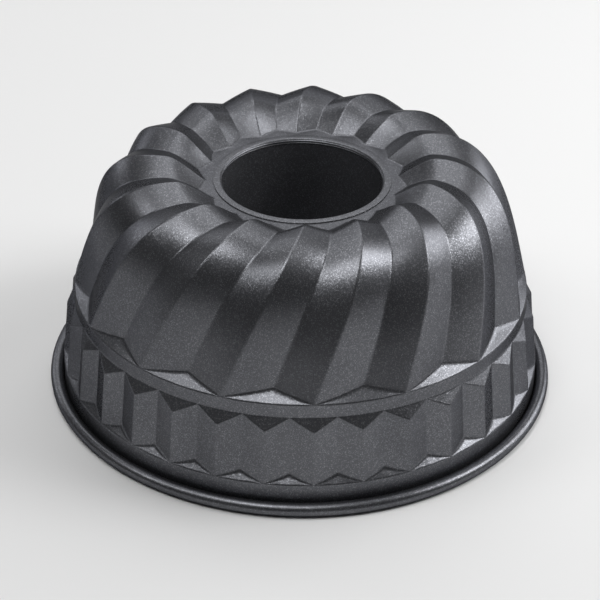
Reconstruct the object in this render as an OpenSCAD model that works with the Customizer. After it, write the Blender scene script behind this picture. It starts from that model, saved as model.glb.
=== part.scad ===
// Ring-cake mould with a swirled dome, a pleated band, a rolled rim and a centre tube.
// It stands mouth down on its rim. Lengths are in millimetres, +Z is up, and the origin is
// the centre of the mouth plane.

/* [Rim] */
// Outside diameter over the rolled rim
rim_diameter = 233; // [226:1:250]
// Thickness of the roll
roll_diameter = 6; // [5.4:0.1:7]
// Sheet thickness of the mould
sheet = 0.6; // [0.5:0.05:0.8]
// Radius of the bend from the wall into the rim's flat land
heel_radius = 2; // [1.6:0.1:2.4]
// How far the rim stands out from the foot of the band
rim_reach = 6.5; // [6:0.1:8]

/* [Pleated band] */
// Height of the band's foot above the mouth plane
foot_height = 13.1; // [10:0.1:15]
// Height of the pleated band
band_length = 31; // [26:0.5:38]
// How far the band leans in, from its foot to the plain waist above it
band_lean = 6.4; // [4:0.1:9]
// Depth of a pleat, from ridge to valley
pleat_depth = 3.4; // [2:0.1:3.8]
// Height of the sloping end over each ridge
ridge_end = 5.2; // [3:0.1:7]
// Height of the sloping end under each valley
valley_end = 4.6; // [3:0.1:7]
// Height of the plain waist
waist_length = 6.4; // [4:0.1:9]

/* [Dome] */
// Height of the crests above the mouth plane
mould_height = 112.4; // [108:0.2:120]
// Diameter of the circle where the crests are highest
crest_diameter = 122.4; // [116:0.2:130]
// Height of the flat deck round the tube
deck_height = 101.6; // [99:0.2:104]
// Diameter where the crests meet the deck
deck_diameter = 86; // [84:0.2:90]
// Number of flutes
flutes = 16; // [12:1:20]
// Depth of a flute on the dome's flank
flute_depth = 4.6; // [3:0.1:6]
// Depth of a flute at the deck
flute_start = 2.2; // [1.4:0.1:3]
// Height of the sloping end under each flute
flute_end = 5.8; // [4:0.1:9]
// Turn of a flute from the deck to the waist, in degrees
swirl = 23; // [0:0.5:30]

/* [Tube] */
// Inside diameter of the tube at its lip
tube_diameter = 72.8; // [70:0.2:74]
// Inside diameter of the tube at its lower end
tube_end_diameter = 61; // [56:0.5:66]
// Height of the tube's lower end above the mouth plane
tube_end_height = 4; // [2:0.1:8]
// Sheet thickness of the tube
tube_sheet = 0.5; // [0.4:0.05:0.6]
// Width of the flange that lies on the deck
flange_width = 3.5; // [3:0.1:4]
// Outside radius of the rounded lip
lip_radius = 0.8; // [0.7:0.05:1]
// Outside radius of the locking bead under the deck
bead_radius = 1; // [0.95:0.05:1.3]
// Outside radius of the curl that turns in at the lower end
curl_radius = 1.3; // [1.1:0.05:1.6]

/* [Hidden] */
$fn = 96;

// Angle that turns the pattern about the axis
pattern_turn = 3.5;
// Clearance round the tube in the deck's hole, and of the locking bead under the deck
tube_fit = 0.05;
bead_fit = 0.02;
// Overrun of every cut
overrun = 1;

// Steps of the skin: columns across one face of a flute, rows along the dome
facet_steps = 2;
dome_rows = 18;
// Height over which the wall turns from plain to folded
fold_start = 0.1;
// Just below the band the wall laps over the rim's collar, a true cylinder, and a small ledge
// is left on each side of the lap
seam_drop = 1.6;
seam_lap = 1;
seam_ledge = 0.1;
// The collar's radius is rounded down to a whole number of these
seam_grain = 0.01;

// Slopes of the crest line where it leaves the deck and where it meets the waist
rise_angle = 35;
fall_angle = 77.4;
// Reach of the crest line's end tangents, as shares of the run and drop on their side
rise_share = 0.45;
top_in_share = 0.325;
top_out_share = 0.765;
fall_share = 0.481;
// Share of the swirl that is left where the crests are highest
swirl_top_share = 0.843;

columns = 2 * facet_steps * flutes;
pleat_steps = facet_steps / 2;
pitch = 360 / flutes;

rim_r = rim_diameter / 2;
roll_r = roll_diameter / 2;
foot_r = rim_r - rim_reach;
waist_r = foot_r - band_lean;
band_top = foot_height + band_length;
dome_foot = band_top + waist_length;
heel_top = sheet + heel_radius;
seam_height = foot_height - seam_drop;
// The wall's facets dip inside their circle, and the collar's outside keeps within them
facet_dip = foot_r * (1 - cos(180 / columns));
collar_r = floor((foot_r - facet_dip - seam_ledge) / seam_grain) * seam_grain;

deck_r = deck_diameter / 2;
crest_r = crest_diameter / 2;
drop = mould_height - dome_foot;
rise_run = crest_r - deck_r;
fall_run = waist_r - crest_r;

neck_in = tube_diameter / 2;
neck_out = neck_in + tube_sheet;
hole_r = neck_in + lip_radius + tube_fit;
lip_top = deck_height + tube_sheet;

// Crest line: two cubic arcs that meet level at the top, t from 0 at the deck to 2 at the waist
function cubic(p, t) = pow(1 - t, 3) * p[0] + 3 * pow(1 - t, 2) * t * p[1]
    + 3 * (1 - t) * t * t * p[2] + t * t * t * p[3];
function cubic_dir(p, t) = pow(1 - t, 2) * (p[1] - p[0])
    + 2 * (1 - t) * t * (p[2] - p[1]) + t * t * (p[3] - p[2]);

top_point = [crest_r, mould_height];
deck_point = [deck_r, deck_height];
waist_point = [waist_r, dome_foot];
rise_reach = rise_share * rise_run;
fall_reach = fall_share * drop;
rise_arc = [deck_point, deck_point + rise_reach * [cos(rise_angle), sin(rise_angle)],
    top_point - [top_in_share * rise_run, 0], top_point];
fall_arc = [top_point, top_point + [top_out_share * fall_run, 0],
    waist_point + fall_reach * [-cos(fall_angle), sin(fall_angle)], waist_point];

function crest(t) = t < 1 ? cubic(rise_arc, t) : cubic(fall_arc, t - 1);
function crest_dir(t) = t < 1 ? cubic_dir(rise_arc, t) : cubic_dir(fall_arc, t - 1);
// Unit normal that points out of the mould
function crest_out(t) = let (d = crest_dir(t)) [-d[1], d[0]] / norm(d);

// Flutes: w is 0 on a crest and 1 in a valley, skin is the depth below the outer face
function ease(x) = let (c = min(1, max(0, x))) c * c * (3 - 2 * c);
function depth(t) = flute_start + (flute_depth - flute_start) * ease(t);
function flute_point(t, w, skin) = crest(t) - (depth(t) * w + skin) * crest_out(t);
function turn(t) = swirl * (t < 1 ? 1 - (1 - swirl_top_share) * t : swirl_top_share * (2 - t));
// The t between lo and hi at which the surface passes height z, by halving n times
function find(lo, hi, w, skin, z, rising, n = 24) = let (m = (lo + hi) / 2)
    n == 0 ? m :
    (flute_point(m, w, skin)[1] < z) == rising ? find(m, hi, w, skin, z, rising, n - 1)
                                               : find(lo, m, w, skin, z, rising, n - 1);

// Wave across a flute or a pleat: 0 on the ridge, 1 in the valley
function wave(i, steps) = let (k = i % (2 * steps)) (k <= steps ? k : 2 * steps - k) / steps;
// How far the inside of a bend lies below its outside, for each unit of skin, where a wall
// changes from upright to a slope of this run and fall
function bend_drop(run, fall) = tan((90 - atan2(fall, run)) / 2);

flute_bend = bend_drop(flute_depth, flute_end);
ridge_bend = bend_drop(pleat_depth, ridge_end);
valley_bend = bend_drop(pleat_depth, valley_end);

// Pleated band: the ridges narrow from the foot, and the valleys run in to the waist
band_taper = (foot_r - pleat_depth - waist_r) / band_length;
function pleat_r(z, w) = foot_r - band_taper * (z - foot_height) - pleat_depth * w;

// One row of the skin: a list of [radius, height, angle], one for each column
function ring_row(r, z) = [for (i = [0 : columns - 1]) [r, z, 0]];
function deck_row(skin) = [for (i = [0 : columns - 1])
    [hole_r - overrun, deck_height - skin, turn(0)]];
function dome_row(share, skin) = [for (i = [0 : columns - 1]) let (
    w = wave(i, facet_steps),
    t0 = find(0, 1, w, skin, deck_height - skin, true),
    t1 = find(1, 2, w, skin, dome_foot + flute_end * w - flute_bend * skin, false),
    t = t0 + (t1 - t0) * share,
    p = flute_point(t, w, skin)) [p[0], p[1], turn(t)]];
function ridge_end_row(skin) = [for (i = [0 : columns - 1]) let (
    w = wave(i, pleat_steps), z = band_top - ridge_end * (1 - w) - ridge_bend * skin)
    [pleat_r(z, w) - skin, z, 0]];
function valley_end_row(skin) = [for (i = [0 : columns - 1]) let (
    w = wave(i, pleat_steps), z = foot_height + valley_end * w - valley_bend * skin)
    [pleat_r(z, w) - skin, z, 0]];

// All rows of one side of the sheet, from the deck's hole to the rim's collar
function skin_rows(skin) = concat(
    [deck_row(skin)],
    [for (j = [0 : dome_rows]) dome_row(j / dome_rows, skin)],
    [ring_row(waist_r - skin, dome_foot - flute_bend * skin - fold_start),
     ring_row(waist_r - skin, band_top - ridge_bend * skin + fold_start),
     ridge_end_row(skin),
     valley_end_row(skin),
     ring_row(foot_r - skin, foot_height - valley_bend * skin - fold_start),
     ring_row(foot_r - skin, seam_height - seam_lap)]);

// Place a row's points about the axis, with the first column near the front
function place(row) = [for (i = [0 : columns - 1]) let (
    a = row[i][2] + pattern_turn + pitch * i / (2 * facet_steps) - 90)
    [row[i][0] * cos(a), row[i][0] * sin(a), row[i][1]]];

// Deck, fluted dome, waist and pleated band, pressed from one sheet
module pressed_skin() {
    outer = skin_rows(0);
    inner = skin_rows(sheet);
    points = [for (side = [outer, inner]) for (row = side) each place(row)];
    last = len(outer) - 1;
    inside = len(outer) * columns;
    foot = last * columns;
    faces = [for (i = [0 : columns - 1]) let (k = (i + 1) % columns) each concat(
        [for (j = [0 : last - 1]) let (a = j * columns, b = a + columns)
            each [[a + i, a + k, b + k], [a + i, b + k, b + i]]],
        [for (j = [0 : last - 1]) let (a = inside + j * columns, b = a + columns)
            each [[a + i, b + k, a + k], [a + i, b + i, b + k]]],
        [[i, inside + k, k], [i, inside + i, inside + k],
         [foot + i, foot + k, inside + foot + k],
         [foot + i, inside + foot + k, inside + foot + i]])];
    polyhedron(points, faces, convexity = 8);
}

// Part of a ring of sheet between two radii, in the named quarters of the plane
module bend(outer, inner, quarters) {
    difference() {
        circle(outer);
        circle(inner);
        for (q = [0 : 3])
            if (len(search(q, quarters)) == 0)
                rotate(90 * q)
                    square(outer + overrun);
    }
}

// Collar, heel, flat land and open roll, all of one sheet
module rolled_rim() {
    heel_r = collar_r + heel_radius;
    rotate_extrude()
        translate([collar_r - sheet, heel_top])
            square([sheet, seam_height - heel_top]);
    rotate_extrude()
        translate([heel_r, heel_top])
            bend(heel_top, heel_radius, [2]);
    rotate_extrude()
        translate([heel_r, 0])
            square([rim_r - roll_r - heel_r, sheet]);
    rotate_extrude()
        translate([rim_r - roll_r, roll_r])
            bend(roll_r, roll_r - sheet, [0, 1, 3]);
}

module body_shell() {
    color("DimGray")
        difference() {
            union() {
                pressed_skin();
                rolled_rim();
            }
            translate([0, 0, deck_height - sheet - overrun])
                cylinder(r = hole_r, h = sheet + 2 * overrun);
        }
}

// Centre tube: the bead bulges from the middle of the neck's sheet, and its top touches the
// edge of the deck's hole from below
bead_mid = neck_out - tube_sheet / 2;
bead_reach = hole_r - bead_mid;
bead_height = deck_height - sheet - bead_fit
    - sqrt(bead_radius * bead_radius - bead_reach * bead_reach);
neck_top = lip_top - lip_radius;
neck_foot = bead_height - bead_radius;
end_in = tube_end_diameter / 2;
curl_height = tube_end_height + curl_radius;

// Section of the neck, with the bead's hollow left open to the inside
module neck_section() {
    difference() {
        union() {
            translate([neck_in, neck_foot])
                square([tube_sheet, neck_top - neck_foot]);
            translate([bead_mid, bead_height])
                difference() {
                    circle(bead_radius);
                    translate([-2 * bead_radius, -bead_radius])
                        square(2 * bead_radius);
                }
        }
        translate([bead_mid, bead_height])
            circle(bead_radius - tube_sheet);
    }
}

module centre_tube() {
    color("Gray")
        union() {
            rotate_extrude()
                translate([neck_in + lip_radius, deck_height])
                    square([flange_width - lip_radius, tube_sheet]);
            rotate_extrude()
                translate([neck_in + lip_radius, neck_top])
                    bend(lip_radius, lip_radius - tube_sheet, [1]);
            rotate_extrude()
                neck_section();
            rotate_extrude()
                polygon([[neck_in, neck_foot], [neck_out, neck_foot],
                    [end_in + tube_sheet, curl_height], [end_in, curl_height]]);
            rotate_extrude()
                translate([end_in + tube_sheet - curl_radius, curl_height])
                    bend(curl_radius, curl_radius - tube_sheet, [2, 3]);
        }
}

body_shell();
centre_tube();
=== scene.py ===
from math import atan2, cos, hypot, pi, radians, sin, tan

import bpy
from mathutils import Matrix, Vector


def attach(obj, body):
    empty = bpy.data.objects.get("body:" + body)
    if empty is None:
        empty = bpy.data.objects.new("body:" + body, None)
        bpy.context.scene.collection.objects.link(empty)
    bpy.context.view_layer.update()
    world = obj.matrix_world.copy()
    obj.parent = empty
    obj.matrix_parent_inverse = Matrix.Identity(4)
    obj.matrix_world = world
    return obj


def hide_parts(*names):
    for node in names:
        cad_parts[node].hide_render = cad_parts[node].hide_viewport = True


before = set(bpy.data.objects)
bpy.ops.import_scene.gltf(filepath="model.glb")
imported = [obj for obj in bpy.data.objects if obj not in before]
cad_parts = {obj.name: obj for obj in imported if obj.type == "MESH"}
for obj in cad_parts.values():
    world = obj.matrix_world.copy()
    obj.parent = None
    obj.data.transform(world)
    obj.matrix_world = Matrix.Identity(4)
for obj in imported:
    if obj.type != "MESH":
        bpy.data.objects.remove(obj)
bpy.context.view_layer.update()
mm = 0.001


# Helpers for profiles, in millimetres

longestTrimShare = 0.45  # a corner's curve takes no more than this share of either edge
shortestEdge = 1e-6      # keeps an edge of no length from dividing by zero
halvings = 30            # of the search for a height along a flute


def arc(centre, radius, start, end, steps):
    angles = [radians(start + (end - start) * k / steps) for k in range(steps + 1)]
    return [(centre[0] + radius * cos(a), centre[1] + radius * sin(a)) for a in angles]


def blend(a, b, share):
    return tuple(x + (y - x) * share for x, y in zip(a, b))


def roundCorners(points, corners, steps):
    # replaces each numbered corner by a short curve that starts and ends at its trim from it,
    # and gives every column the same count of points
    out = []
    for k, point in enumerate(points):
        if k not in corners:
            out.append(point)
            continue
        trim = corners[k]
        before, after = points[k - 1], points[k + 1]
        backEdge = max(hypot(before[0] - point[0], before[1] - point[1]), shortestEdge)
        onEdge = max(hypot(after[0] - point[0], after[1] - point[1]), shortestEdge)
        backShare = min(longestTrimShare, trim / backEdge)
        onShare = min(longestTrimShare, trim / onEdge)
        start, end = blend(point, before, backShare), blend(point, after, onShare)
        for s in range(steps + 1):
            share = s / steps
            out.append(blend(blend(start, point, share), blend(point, end, share), share))
    return out


def creasedSteps(crease, creaseSteps, flatSteps):
    # places across one pressed face, close together at both of its creases
    edge = [crease * k / creaseSteps for k in range(creaseSteps)]
    flat = [crease + (1 - 2 * crease) * k / flatSteps for k in range(flatSteps + 1)]
    return edge + flat + [1 - e for e in reversed(edge)]


def roundedShare(w, crease):
    # 0 to 1 across a face, rounded off where the face meets its neighbours
    if w < crease:
        return crease / 2 * (1 + (w / crease) ** 2)
    if w > 1 - crease:
        return 1 - crease / 2 * (1 + ((1 - w) / crease) ** 2)
    return w


def makeMesh(name, vertices, faces):
    mesh = bpy.data.meshes.new(name)
    mesh.from_pydata([Vector(v) * mm for v in vertices], [], faces)
    mesh.validate()
    mesh.shade_smooth()
    piece = bpy.data.objects.new(name, mesh)
    bpy.context.collection.objects.link(piece)
    return piece


def ringGrid(name, rows):
    # rows of (radius, height, angle in degrees), closed round the axis
    count = len(rows[0])
    vertices = [(r * cos(radians(a)), r * sin(radians(a)), z) for row in rows for r, z, a in row]
    faces = []
    for j in range(len(rows) - 1):
        for i in range(count):
            k = (i + 1) % count
            faces.append((j * count + i, (j + 1) * count + i, (j + 1) * count + k, j * count + k))
    return makeMesh(name, vertices, faces)


def giveThickness(piece, thickness):
    sheet = piece.modifiers.new("sheet", "SOLIDIFY")
    sheet.thickness = thickness * mm
    sheet.offset = -1
    sheet.use_even_offset = True
    sheet.use_rim = True
    sheet.use_quality_normals = True
    normals = piece.modifiers.new("faceNormals", "WEIGHTED_NORMAL")
    normals.keep_sharp = True


# Body: one pressed sheet, from the hole in its deck to the end of its rolled rim

body = {
    "rimRadius": 116.5, "rollRadius": 3.0, "sheet": 0.6, "heelRadius": 2.0,
    "footRadius": 110.0, "footHeight": 13.1, "waistRadius": 103.6, "bandLength": 31.0,
    "pleatDepth": 3.4, "ridgeEnd": 5.2, "valleyEnd": 3.2, "waistLength": 6.4,
    "height": 112.4, "crestRadius": 61.2, "deckHeight": 101.6, "deckRadius": 43.0, "deckMargin": 3.0,
    "holeRadius": 37.25, "flutes": 16, "fluteDepth": 4.6, "fluteStart": 2.2, "fluteEnd": 3.8,
    "swirl": 23.0, "swirlTopShare": 0.843, "patternTurn": 3.5,
    "riseAngle": 35.0, "fallAngle": 77.4,          # slopes of the crest line at its two ends
    "riseShare": 0.45, "topInShare": 0.325,        # reach of the crest line's tangents
    "topOutShare": 0.765, "fallShare": 0.481,
    "fluteCrease": 0.05, "pleatCrease": 0.06,      # rounded share of a pressed face, at each edge
    "deckTrim": 1.2, "fluteTrim": 2.4, "valleyTrim": 1.5,  # rounding of the hollow corners, on each side
    "edgeTrim": 0.7, "cornerSteps": 6,                     # and of the other corners
    "riseRows": 16, "fallRows": 34,                # rows of faces, and steps across each form
    "fluteCreaseSteps": 3, "fluteFlatSteps": 6, "pleatCreaseSteps": 2, "pleatFlatSteps": 2,
    "heelSteps": 8, "rollSteps": 40,
    "metallic": 0.9, "roughness": 0.35,            # of the coating on this piece
}
bandTop = body["footHeight"] + body["bandLength"]
domeFoot = bandTop + body["waistLength"]


def crestArcs():
    rise = body["crestRadius"] - body["deckRadius"]
    fall = body["waistRadius"] - body["crestRadius"]
    drop = body["height"] - domeFoot
    deck = Vector((body["deckRadius"], body["deckHeight"]))
    top = Vector((body["crestRadius"], body["height"]))
    foot = Vector((body["waistRadius"], domeFoot))
    a, b = radians(body["riseAngle"]), radians(body["fallAngle"])
    rising = [deck, deck + body["riseShare"] * rise * Vector((cos(a), sin(a))),
              top - Vector((body["topInShare"] * rise, 0)), top]
    falling = [top, top + Vector((body["topOutShare"] * fall, 0)),
               foot + body["fallShare"] * drop * Vector((-cos(b), sin(b))), foot]
    return rising, falling


risingArc, fallingArc = crestArcs()


def flutePoint(t, w):
    # t runs along a flute, 0 at the deck, 1 at the top and 2 at the waist; w is 0 on the crest
    p, u = (risingArc, t) if t < 1 else (fallingArc, t - 1)
    point = (1 - u) ** 3 * p[0] + 3 * (1 - u) ** 2 * u * p[1] + 3 * (1 - u) * u * u * p[2] + u ** 3 * p[3]
    along = (1 - u) ** 2 * (p[1] - p[0]) + 2 * (1 - u) * u * (p[2] - p[1]) + u * u * (p[3] - p[2])
    out = Vector((-along.y, along.x)).normalized()
    ease = min(1, t)
    depth = body["fluteStart"] + (body["fluteDepth"] - body["fluteStart"]) * ease * ease * (3 - 2 * ease)
    return point - depth * w * out


def findShare(low, high, w, height, rising):
    for _ in range(halvings):
        middle = (low + high) / 2
        if (flutePoint(middle, w).y < height) == rising:
            low = middle
        else:
            high = middle
    return low


def turnAt(t):
    left = 1 - (1 - body["swirlTopShare"]) * t if t < 1 else body["swirlTopShare"] * (2 - t)
    return body["swirl"] * left


def pleatRadius(z, w):
    taper = (body["footRadius"] - body["pleatDepth"] - body["waistRadius"]) / body["bandLength"]
    return body["footRadius"] - taper * (z - body["footHeight"]) - body["pleatDepth"] * w


def bodyColumn(fluteShare, fluteAngle, pleatShare, pleatAngle):
    # one column's (radius, height, angle) from the deck's hole to the foot of the wall
    w, p = roundedShare(fluteShare, body["fluteCrease"]), roundedShare(pleatShare, body["pleatCrease"])
    start = findShare(0, 1, w, body["deckHeight"], True)
    end = findShare(1, 2, w, domeFoot + body["fluteEnd"] * w, False)
    places = [start + (1 - start) * k / body["riseRows"] for k in range(body["riseRows"])]
    places += [1 + (end - 1) * k / body["fallRows"] for k in range(body["fallRows"] + 1)]
    points = [(body["holeRadius"], body["deckHeight"], fluteAngle + body["swirl"]),
              (body["deckRadius"] - body["deckMargin"], body["deckHeight"], fluteAngle + body["swirl"])]
    points += [(*flutePoint(t, w), fluteAngle + turnAt(t)) for t in places]
    ridgeEnd = bandTop - body["ridgeEnd"] * (1 - p)
    valleyEnd = body["footHeight"] + body["valleyEnd"] * p
    ring = [(body["waistRadius"], domeFoot, fluteAngle),
            (body["waistRadius"], bandTop, pleatAngle),
            (pleatRadius(ridgeEnd, p), ridgeEnd, pleatAngle),
            (pleatRadius(valleyEnd, p), valleyEnd, pleatAngle),
            (body["footRadius"], body["footHeight"], pleatAngle)]
    trims = [body[name] for name in ("edgeTrim", "edgeTrim", "edgeTrim", "valleyTrim", "edgeTrim")]
    corners = {2: body["deckTrim"], len(points) - 1: body["fluteTrim"]}
    corners.update({len(points) + k: trim for k, trim in enumerate(trims)})
    points += ring + [(body["footRadius"], body["sheet"] + body["heelRadius"], pleatAngle)]
    return roundCorners(points, corners, body["cornerSteps"])


def makeBody():
    fluteSteps = creasedSteps(body["fluteCrease"], body["fluteCreaseSteps"], body["fluteFlatSteps"])
    pleatSteps = creasedSteps(body["pleatCrease"], body["pleatCreaseSteps"], body["pleatFlatSteps"])
    halfFlute = 180 / body["flutes"]
    halfPleat = halfFlute / 2
    # each way goes down one face of a form and up the next: its depth, and its place round the axis
    fluteWay = [(w, w) for w in fluteSteps[:-1]] + [(w, 2 - w) for w in reversed(fluteSteps[1:])]
    pleatWay = []
    for k in (0, 2):  # two pleats to each flute
        pleatWay += [(w, w + k) for w in pleatSteps[:-1]]
        pleatWay += [(w, 2 - w + k) for w in reversed(pleatSteps[1:])]
    columns = []
    for flute in range(body["flutes"]):
        base = body["patternTurn"] - 90 + 2 * halfFlute * flute
        for (w, a), (p, b) in zip(fluteWay, pleatWay):
            columns.append(bodyColumn(w, base + a * halfFlute, p, base + b * halfPleat))
    rows = [list(row) for row in zip(*columns)]
    rimPath = arc((body["footRadius"] + body["heelRadius"], body["sheet"] + body["heelRadius"]),
                  body["heelRadius"], 180, 270, body["heelSteps"])[1:]
    rimPath += arc((body["rimRadius"] - body["rollRadius"], body["rollRadius"]),
                   body["rollRadius"] - body["sheet"], -90, 180, body["rollSteps"])
    rows += [[(r, z, angle) for _, _, angle in rows[-1]] for r, z in rimPath]
    piece = ringGrid("pressedBody", rows)
    giveThickness(piece, body["sheet"])
    return piece


# Tube: flange on the deck, rounded lip, locking bead, long taper and a curled end

tube = {
    "lipRadius": 36.4, "sheet": 0.5, "flangeWidth": 3.5, "lipRound": 0.8, "beadRound": 0.8,
    "endRadius": 30.5, "endHeight": 4.0, "curlRound": 1.3, "beadFit": 0.02,
    "columns": 288, "lipSteps": 8, "grooveSteps": 20, "taperSteps": 12, "curlSteps": 12,
    "metallic": 0.75, "roughness": 0.36,  # of the coating on this piece
}


def makeTube():
    inside, sheet = tube["lipRadius"], tube["sheet"]
    lipTop = body["deckHeight"] + sheet
    beadMiddle = inside + sheet / 2
    beadReach = body["holeRadius"] - beadMiddle
    beadHeight = (body["deckHeight"] - body["sheet"] - tube["beadFit"]
                  - (tube["beadRound"] ** 2 - beadReach ** 2) ** 0.5)
    groove = tube["beadRound"] - sheet
    mouth = 90 + 180 / pi * atan2(sheet / 2, (groove ** 2 - sheet ** 2 / 4) ** 0.5)
    curlMiddle = (tube["endRadius"] + sheet - tube["curlRound"], tube["endHeight"] + tube["curlRound"])
    path = [(inside + tube["flangeWidth"], lipTop)]
    path += arc((inside + tube["lipRound"], lipTop - tube["lipRound"]), tube["lipRound"], 90, 180,
                tube["lipSteps"])
    path += arc((beadMiddle, beadHeight), groove, mouth, -mouth, tube["grooveSteps"])
    path += [(inside, beadHeight - tube["beadRound"])]
    top, foot = path[-1], (tube["endRadius"], curlMiddle[1])
    path += [blend(top, foot, k / tube["taperSteps"]) for k in range(1, tube["taperSteps"])]
    path += arc(curlMiddle, tube["curlRound"] - sheet, 0, -180, tube["curlSteps"])
    angles = [360 * k / tube["columns"] for k in range(tube["columns"])]
    rows = [[(r, z, a) for a in angles] for r, z in reversed(path)]
    piece = ringGrid("centreTube", rows)
    giveThickness(piece, sheet)
    return piece


# Materials

def linear(hexColour):
    parts = [int(hexColour[k:k + 2], 16) / 255 for k in (1, 3, 5)]
    return tuple(c / 12.92 if c <= 0.04045 else ((c + 0.055) / 1.055) ** 2.4 for c in parts) + (1,)


def addNode(tree, kind, inputs=None, links=None, **settings):
    made = tree.nodes.new(kind)
    for name, value in settings.items():
        setattr(made, name, value)
    for name, value in (inputs or {}).items():
        made.inputs[name].default_value = value
    for name, source in (links or {}).items():
        tree.links.new(source, made.inputs[name])
    return made


coating = {
    "dark": "#626367", "light": "#6a6b6f",
    "grazing": "#707072",                     # tint of what shows at a flat angle, where the binder dims it
    "mottleSize": 30.0, "mottleDetail": 3.0,  # mm, and layers of noise
    "mottleFrom": 0.35, "mottleTo": 0.65,     # range of the noise that takes the two colours
    "flakeSize": 0.35, "flakeTilt": 0.08,     # mm; a real flake is finer, and this is coarse enough to show
    "glintFrom": 0.62, "glintTo": 0.95,       # a flake's random grey: dull up to one, brightest from the next
    "glintLow": 0.93, "glintHigh": 2.0,       # brightness of a dull and of the brightest flake
}


def makeCoating(name, metallic, roughness):
    # non-stick coating, sprayed over steel and baked: dark anthracite with aluminium flake,
    # which gives satin highlights that break up into fine sparkle
    material = bpy.data.materials.new(name)
    material.use_nodes = True
    tree = material.node_tree
    tree.nodes.clear()
    place = addNode(tree, "ShaderNodeTexCoord").outputs["Object"]
    mottle = addNode(tree, "ShaderNodeTexNoise",
                     {"Scale": 1 / (coating["mottleSize"] * mm), "Detail": coating["mottleDetail"]},
                     {"Vector": place})
    colour = addNode(tree, "ShaderNodeValToRGB", links={"Fac": mottle.outputs["Fac"]})
    colour.color_ramp.elements[0].position = coating["mottleFrom"]
    colour.color_ramp.elements[0].color = linear(coating["dark"])
    colour.color_ramp.elements[1].position = coating["mottleTo"]
    colour.color_ramp.elements[1].color = linear(coating["light"])
    flake = addNode(tree, "ShaderNodeTexVoronoi", {"Scale": 1 / (coating["flakeSize"] * mm)},
                    {"Vector": place})
    glint = addNode(tree, "ShaderNodeMapRange",
                    {"From Min": coating["glintFrom"], "From Max": coating["glintTo"],
                     "To Min": coating["glintLow"], "To Max": coating["glintHigh"]},
                    {"Value": flake.outputs["Color"]})
    speckled = addNode(tree, "ShaderNodeVectorMath",
                       links={0: colour.outputs["Color"], 1: glint.outputs[0]}, operation="MULTIPLY")
    # each flake lies a little askew: its random colour, centred on zero, is added to the normal
    tilt = addNode(tree, "ShaderNodeVectorMath", {1: (0.5, 0.5, 0.5)}, {0: flake.outputs["Color"]},
                   operation="SUBTRACT")
    scaled = addNode(tree, "ShaderNodeVectorMath", {"Scale": coating["flakeTilt"]}, {0: tilt.outputs[0]},
                     operation="SCALE")
    facing = addNode(tree, "ShaderNodeNewGeometry").outputs["Normal"]
    tilted = addNode(tree, "ShaderNodeVectorMath", links={0: facing, 1: scaled.outputs[0]})
    normal = addNode(tree, "ShaderNodeVectorMath", links={0: tilted.outputs[0]}, operation="NORMALIZE")
    shader = addNode(tree, "ShaderNodeBsdfPrincipled",
                     {"Metallic": metallic, "Roughness": roughness,
                      "Specular Tint": linear(coating["grazing"])},
                     {"Base Color": speckled.outputs[0], "Normal": normal.outputs[0]})
    addNode(tree, "ShaderNodeOutputMaterial", links={"Surface": shader.outputs[0]})
    return material


shell = makeBody()
shell.data.materials.append(makeCoating("coatedBody", body["metallic"], body["roughness"]))
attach(shell, "root")
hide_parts("body_shell")
print("body made:", len(shell.data.polygons), "faces before thickness")

sleeve = makeTube()
sleeve.data.materials.append(makeCoating("coatedTube", tube["metallic"], tube["roughness"]))
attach(sleeve, "root")
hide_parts("centre_tube")
print("tube made:", len(sleeve.data.polygons), "faces before thickness")


# Studio: floor, lamps and camera

studio = {
    "floorColour": "#dedede", "floorRoughness": 0.9, "floorSize": 12.0,  # sizes and distances in metres
    "worldColour": "#ffffff", "worldStrength": 0.05,
    "lamps": [  # name, degrees round from the right, degrees up, distance, size, power in watts
        ("keyRight", 0, 40, 1.3, (0.58, 0.58), 8.6),
        ("lowRight", 28, 16, 1.3, (0.75, 0.56), 6.8),
        ("top", 244, 70, 1.3, (0.58, 0.58), 5.6),
        ("overBack", 90, 68, 1.5, (1.20, 0.80), 5.5),
        ("back", 95, 36, 1.6, (1.60, 1.00), 6.0),
        ("left", 190, 50, 1.3, (0.45, 0.45), 2.4),
        ("lowLeft", 135, 12, 1.3, (0.50, 0.40), 1.7),
    ],
    "aim": (0, 0, 0.05),
}


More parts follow.
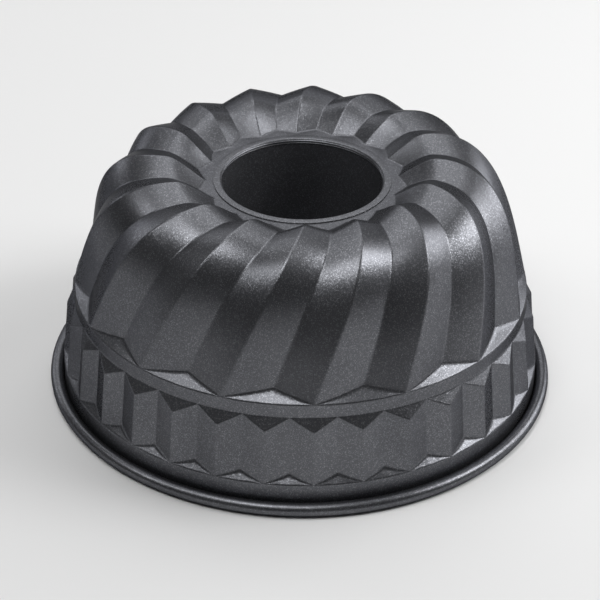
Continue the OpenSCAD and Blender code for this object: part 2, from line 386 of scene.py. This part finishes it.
def makeStudio():
    half = studio["floorSize"] / 2
    mesh = bpy.data.meshes.new("studioFloor")
    corners = [(-half, -half, 0), (half, -half, 0), (half, half, 0), (-half, half, 0)]
    mesh.from_pydata(corners, [], [(0, 1, 2, 3)])
    floor = bpy.data.objects.new("studioFloor", mesh)
    bpy.context.collection.objects.link(floor)
    paper = bpy.data.materials.new("paleMattPaper")  # plain backdrop paper, matt
    paper.use_nodes = True
    shader = paper.node_tree.nodes["Principled BSDF"]
    shader.inputs["Base Color"].default_value = linear(studio["floorColour"])
    shader.inputs["Roughness"].default_value = studio["floorRoughness"]
    mesh.materials.append(paper)
    world = bpy.data.worlds.new("studioWorld")
    world.use_nodes = True
    sky = world.node_tree.nodes["Background"]
    sky.inputs["Color"].default_value = linear(studio["worldColour"])
    sky.inputs["Strength"].default_value = studio["worldStrength"]
    bpy.context.scene.world = world
    aim = Vector(studio["aim"])
    for name, turn, up, distance, size, power in studio["lamps"]:
        a, b = radians(turn), radians(up)
        place = aim + distance * Vector((cos(b) * cos(a), cos(b) * sin(a), sin(b)))
        light = bpy.data.lights.new(name, "AREA")
        light.shape = "RECTANGLE"
        light.size, light.size_y = size
        light.energy = power
        lamp = bpy.data.objects.new(name, light)
        lamp.location = place
        lamp.rotation_euler = (aim - place).to_track_quat("-Z", "Y").to_euler()
        bpy.context.collection.objects.link(lamp)


# Camera worked out from the photograph: distances in rim radii, angles in radians, sensor in mm
view = {
    "focalPixels": 2228.7, "imagePixels": 600, "sensor": 36.0,
    "distance": 7.464, "height": 5.0745, "yaw": -0.0003, "pitch": 0.5673, "roll": 0.0138,
}


def makeCamera():
    data = bpy.data.cameras.new("photoCamera")
    data.sensor_width = view["sensor"]
    data.lens = view["focalPixels"] * view["sensor"] / view["imagePixels"]
    yaw, pitch, roll = view["yaw"], view["pitch"], view["roll"]
    forward = Vector((sin(yaw) * cos(pitch), cos(yaw) * cos(pitch), -sin(pitch)))
    right = Vector((cos(yaw), -sin(yaw), 0))
    up = right.cross(forward)
    turnedRight = cos(roll) * right + sin(roll) * up
    turnedUp = cos(roll) * up - sin(roll) * right
    rim = body["rimRadius"] * mm
    place = Vector((0, -view["distance"] * rim, view["height"] * rim))
    camera = bpy.data.objects.new("photoCamera", data)
    camera.matrix_world = Matrix((turnedRight, turnedUp, -forward)).transposed().to_4x4()
    camera.location = place
    bpy.context.collection.objects.link(camera)
    bpy.context.scene.camera = camera


makeStudio()
makeCamera()
bpy.context.scene.view_settings.view_transform = "Standard"
print("studio and camera made")
